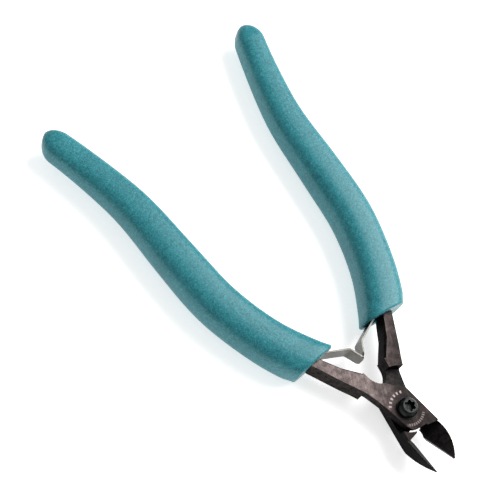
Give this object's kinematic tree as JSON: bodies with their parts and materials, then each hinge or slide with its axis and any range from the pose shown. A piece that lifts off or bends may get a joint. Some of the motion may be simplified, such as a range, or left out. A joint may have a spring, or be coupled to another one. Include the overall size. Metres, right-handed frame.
{
  "type": "diagonal cutting pliers",
  "caption": "Small diagonal cutting pliers with a screwed lap joint, leaf springs that open the handles, and long curved cushion grips.",
  "frame": {"origin": "on the pivot axis, in the rear face of the head", "axes": "+Y from the pivot to the jaw tips along the middle of the open tool, +Z along the pivot axis to the head of the screw, +X to the handle of the front lever"},
  "size_m": [0.0806, 0.1409, 0.0123],
  "materials": {
    "blackened_steel": "blackened and stoned forging, satin, with a brown cast on the flat faces and darker flanks",
    "screw_steel": "black oxide, semi-gloss, slightly green",
    "spring_steel": "bright satin rolled strip",
    "cushion_foam": "mottled teal cushion foam with a soft sheen"
  },
  "bodies": {
    "front_half": {"front_lever": "blackened_steel", "screw_washer": "screw_steel", "front_leaf_spring": "spring_steel", "front_spring_rivet": "spring_steel", "front_grip": "cushion_foam"},
    "rear_half": {"rear_lever": "blackened_steel", "pivot_screw": "screw_steel", "rear_leaf_spring": "spring_steel", "rear_spring_rivet": "spring_steel", "rear_grip": "cushion_foam"}
  },
  "joints": [
    {"name": "pivot", "type": "hinge", "parent": "front_half", "child": "rear_half", "pos_m": [0, 0, 0.00315], "axis": [0, 0, 1], "range_deg": [-5, 20], "stiffness_Nm_per_rad": 0.7, "deforming": ["front_leaf_spring", "rear_leaf_spring"]}
  ]
}
